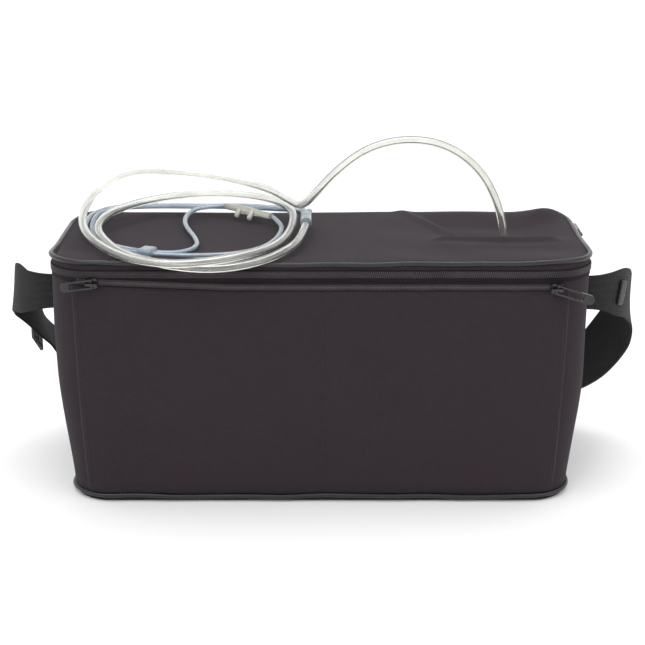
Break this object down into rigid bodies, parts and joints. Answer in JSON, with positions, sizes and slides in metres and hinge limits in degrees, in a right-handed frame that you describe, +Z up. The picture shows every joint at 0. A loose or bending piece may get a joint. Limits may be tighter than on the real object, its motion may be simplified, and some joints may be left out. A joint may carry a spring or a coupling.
{
  "type": "portable oxygen concentrator",
  "caption": "Portable oxygen concentrator in a soft zipped shoulder bag, with its controls under the lid and a nasal cannula coiled on top.",
  "frame": {"origin": "centre of the bag's base, on the surface that it stands on", "axes": "+Z up, +X along the bag's length to the wearer's right, the pocket side faces -Y"},
  "size_m": [0.5196, 0.2362, 0.2858],
  "materials": {
    "nylon": "woven nylon pack cloth, matt",
    "piping": "satin vinyl piping",
    "pad_foam": "closed-cell foam",
    "zip_chain": "coil zip",
    "zip_metal": "black enamelled die-cast",
    "webbing": "woven webbing",
    "buckle_plastic": "moulded acetal",
    "clear_tube": "clear soft vinyl",
    "blue_tube": "blue-tinted soft vinyl",
    "soft_nosepiece": "soft clear vinyl",
    "case_plastic": "light grey moulded",
    "panel_plastic": "membrane panel",
    "dark_plastic": "black moulded",
    "button_green": "moulded",
    "button_white": "moulded",
    "lamp": "translucent lens",
    "brass": "turned",
    "filter_foam": "open-cell foam",
    "steel": "machined",
    "alloy": "cast and turned",
    "rubber": "moulded",
    "board": "solder mask"
  },
  "bodies": {
    "bag_and_unit": {"front_wall": "nylon", "back_wall": "nylon", "left_wall": "nylon", "right_wall": "nylon", "base_panel": "nylon", "front_pocket_panel": "nylon", "base_piping": "piping", "base_foam_pad": "pad_foam", "main_zip_lower_chain": "zip_chain", "pocket_zip_chain": "zip_chain", "shoulder_strap": "webbing", "strap_tri_glide": "buckle_plastic", "strap_lock_tab": "buckle_plastic", "outlet_cup_connector": "clear_tube", "case_lower": "case_plastic", "case_upper": "case_plastic", "intake_grille": "case_plastic", "exhaust_grille": "case_plastic", "control_panel": "panel_plastic", "power_socket": "dark_plastic", "fan_frame": "dark_plastic", "flow_valve": "dark_plastic", "battery_pack": "dark_plastic", "indicator_lights": "lamp", "outlet_barb": "brass", "intake_filter": "filter_foam", "case_screws": "steel", "compressor_motor": "steel", "valve_solenoids": "steel", "crankcase": "alloy", "cylinder_left": "alloy", "cylinder_right": "alloy", "sieve_beds": "alloy", "product_tank": "alloy", "valve_manifold": "alloy", "vibration_mounts": "rubber", "control_board": "board"},
    "lid": {"lid_panel": "nylon", "lid_band": "nylon", "lid_piping": "piping", "main_zip_upper_chain": "zip_chain", "supply_tube": "clear_tube", "lariat_tube_left": "blue_tube", "lariat_tube_right": "blue_tube", "y_connector": "blue_tube", "bolo_slide": "blue_tube", "nosepiece": "soft_nosepiece"},
    "main_zip_slider": {"main_slider": "zip_metal"},
    "main_zip_pull": {"main_pull": "zip_metal"},
    "left_zip_slider": {"pocket_slider_left": "zip_metal"},
    "left_zip_pull": {"pocket_pull_left": "zip_metal"},
    "right_zip_slider": {"pocket_slider_right": "zip_metal"},
    "right_zip_pull": {"pocket_pull_right": "zip_metal"},
    "flow_control": {"flow_knob": "dark_plastic"},
    "power_key": {"power_button": "button_green"},
    "mute_key": {"mute_button": "button_white"},
    "fan": {"fan_rotor": "dark_plastic"},
    "crank": {"crankshaft": "steel"},
    "left_piston": {"piston_left": "alloy"},
    "right_piston": {"piston_right": "alloy"}
  },
  "joints": [
    {"name": "lid_hinge", "type": "hinge", "parent": "bag_and_unit", "child": "lid", "pos_m": [0, 0.0825, 0.189], "axis": [-1, 0, 0], "range_deg": [0, 100]},
    {"name": "main_zip_slide", "type": "slide", "parent": "bag_and_unit", "child": "main_zip_slider", "axis": [0, -1, 0], "range_m": [0, 0.086]},
    {"name": "main_pull_swing", "type": "hinge", "parent": "main_zip_slider", "child": "main_zip_pull", "pos_m": [0.2171, 0.044, 0.189], "axis": [0, 0, -1], "range_deg": [0, 150]},
    {"name": "left_zip_slide", "type": "slide", "parent": "bag_and_unit", "child": "left_zip_slider", "axis": [0.9991, 0, -0.0413], "range_m": [0, 0.1]},
    {"name": "left_pull_swing", "type": "hinge", "parent": "left_zip_slider", "child": "left_zip_pull", "pos_m": [-0.174, -0.08969, 0.1833], "axis": [-0.1219, 0, 0.9925], "range_deg": [0, 150]},
    {"name": "right_zip_slide", "type": "slide", "parent": "bag_and_unit", "child": "right_zip_slider", "axis": [-1, 0, 0], "range_m": [0, 0.135]},
    {"name": "right_pull_swing", "type": "hinge", "parent": "right_zip_slider", "child": "right_zip_pull", "pos_m": [0.18, -0.08969, 0.179], "axis": [-0.309, 0, -0.9511], "range_deg": [0, 150]},
    {"name": "flow_setting", "type": "hinge", "parent": "bag_and_unit", "child": "flow_control", "pos_m": [0.04, -0.02, 0.175], "axis": [0, 0, 1], "range_deg": [0, 240]},
    {"name": "power_press", "type": "slide", "parent": "bag_and_unit", "child": "power_key", "axis": [0, 0, -1], "range_m": [0, 0.0012], "stiffness_N_per_m": 300},
    {"name": "mute_press", "type": "slide", "parent": "bag_and_unit", "child": "mute_key", "axis": [0, 0, -1], "range_m": [0, 0.0012], "stiffness_N_per_m": 300},
    {"name": "fan_spin", "type": "hinge", "parent": "bag_and_unit", "child": "fan", "pos_m": [0.179, 0, 0.1], "axis": [1, 0, 0], "continuous": true},
    {"name": "crank_spin", "type": "hinge", "parent": "bag_and_unit", "child": "crank", "pos_m": [-0.02, 0.022, 0.062], "axis": [0, 1, 0], "continuous": true},
    {"name": "left_piston_stroke", "type": "slide", "parent": "bag_and_unit", "child": "left_piston", "axis": [-1, 0, 0], "range_m": [-0.005, 0.005]},
    {"name": "right_piston_stroke", "type": "slide", "parent": "bag_and_unit", "child": "right_piston", "axis": [1, 0, 0], "range_m": [-0.005, 0.005]}
  ]
}
